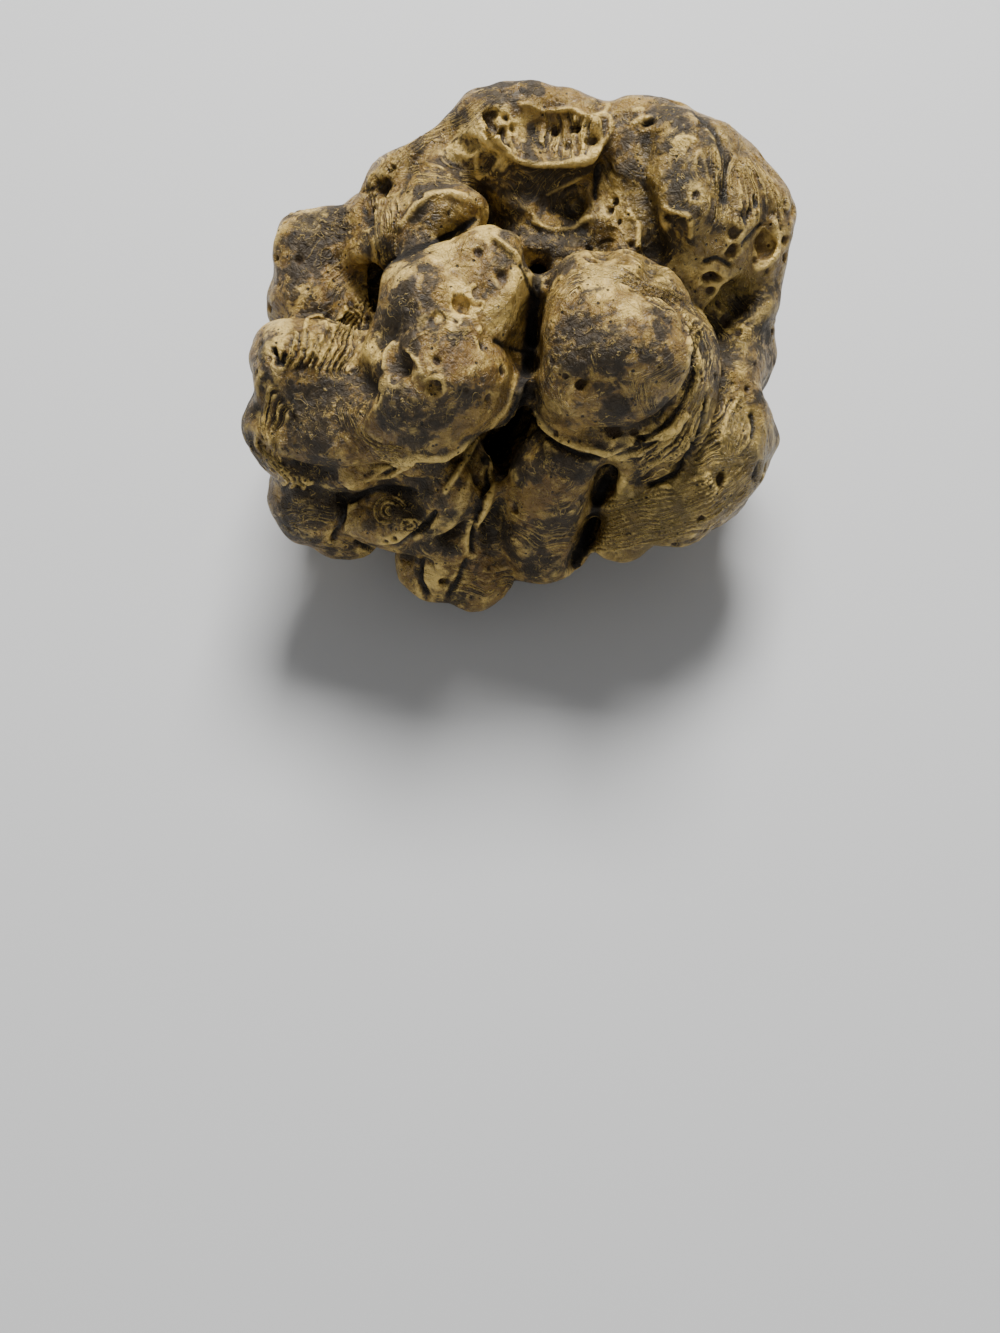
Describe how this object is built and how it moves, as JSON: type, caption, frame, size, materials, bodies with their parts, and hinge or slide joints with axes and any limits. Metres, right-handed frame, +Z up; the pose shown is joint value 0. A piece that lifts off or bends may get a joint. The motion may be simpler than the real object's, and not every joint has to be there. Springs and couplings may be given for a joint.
{
  "type": "white truffle",
  "caption": "Whole raw white truffle: a fist-sized knot of pale ochre folds with deep clefts, pits and dark soil-filled hollows, resting on a small flat spot",
  "frame": {"origin": "middle of the bounding box seen from above, at the height of the resting spot", "axes": "+X along the longest width, the right as seen from the front; +Y away from the front; +Z up, out of the resting spot"},
  "size_m": [0.073, 0.064, 0.0552],
  "materials": {
    "truffle_skin": "matt suede-like skin, pale ochre with dark soil in the hollows"
  },
  "bodies": {
    "root": {"white_truffle": "truffle_skin"}
  },
  "joints": []
}
